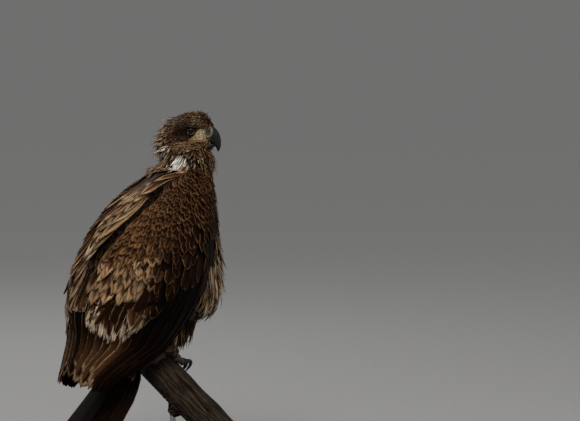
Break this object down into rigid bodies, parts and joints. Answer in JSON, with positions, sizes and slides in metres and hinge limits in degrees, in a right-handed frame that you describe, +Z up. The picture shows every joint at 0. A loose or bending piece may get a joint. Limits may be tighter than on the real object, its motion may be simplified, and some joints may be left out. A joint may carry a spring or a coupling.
{
  "type": "immature bald eagle, perched, still display model on a stand",
  "caption": "Life-size still model of an immature bald eagle with folded wings, head turned to its right, gripping a sloping cut length of driftwood on a rod stand with a flat base",
  "frame": {"origin": "centre of the display base's flat underside, where the model stands on a surface", "axes": "+Z up, the bird's body faces +X, +Y is the bird's left; its head is turned to its right, towards -Y"},
  "size_m": [0.4345, 0.5111, 0.83],
  "materials": {
    "feathers": "soft brown contour feathers with pale edges",
    "wing_feathers": "brown wing feathers with buff edges and a faint sheen",
    "tail_feathers": "dark brown tail feathers",
    "eye": "wet dark brown",
    "horn": "slate black horn, satin",
    "foot_skin": "scaly yellow skin, satin",
    "driftwood": "weathered grey driftwood, matt",
    "base_paint": "satin black painted board",
    "rod_steel": "satin steel"
  },
  "bodies": {
    "root": {"head": "feathers", "neck": "feathers", "trunk": "feathers", "thigh_left": "feathers", "thigh_right": "feathers", "wing_left_coverts": "wing_feathers", "wing_left_secondaries": "wing_feathers", "wing_left_primaries": "wing_feathers", "wing_right_coverts": "wing_feathers", "wing_right_secondaries": "wing_feathers", "wing_right_primaries": "wing_feathers", "tail": "tail_feathers", "eye_left": "eye", "eye_right": "eye", "bill_upper": "horn", "bill_lower": "horn", "tarsus_left": "foot_skin", "tarsus_right": "foot_skin", "toe_left_inner": "foot_skin", "toe_left_middle": "foot_skin", "toe_left_outer": "foot_skin", "toe_left_hallux": "foot_skin", "toe_right_inner": "foot_skin", "toe_right_middle": "foot_skin", "toe_right_outer": "foot_skin", "toe_right_hallux": "foot_skin", "claw_left_inner": "horn", "claw_left_middle": "horn", "claw_left_outer": "horn", "claw_left_hallux": "horn", "claw_right_inner": "horn", "claw_right_middle": "horn", "claw_right_outer": "horn", "claw_right_hallux": "horn", "perch": "driftwood", "stand_base": "base_paint", "stand_rod_1": "rod_steel", "stand_rod_2": "rod_steel"}
  },
  "joints": []
}
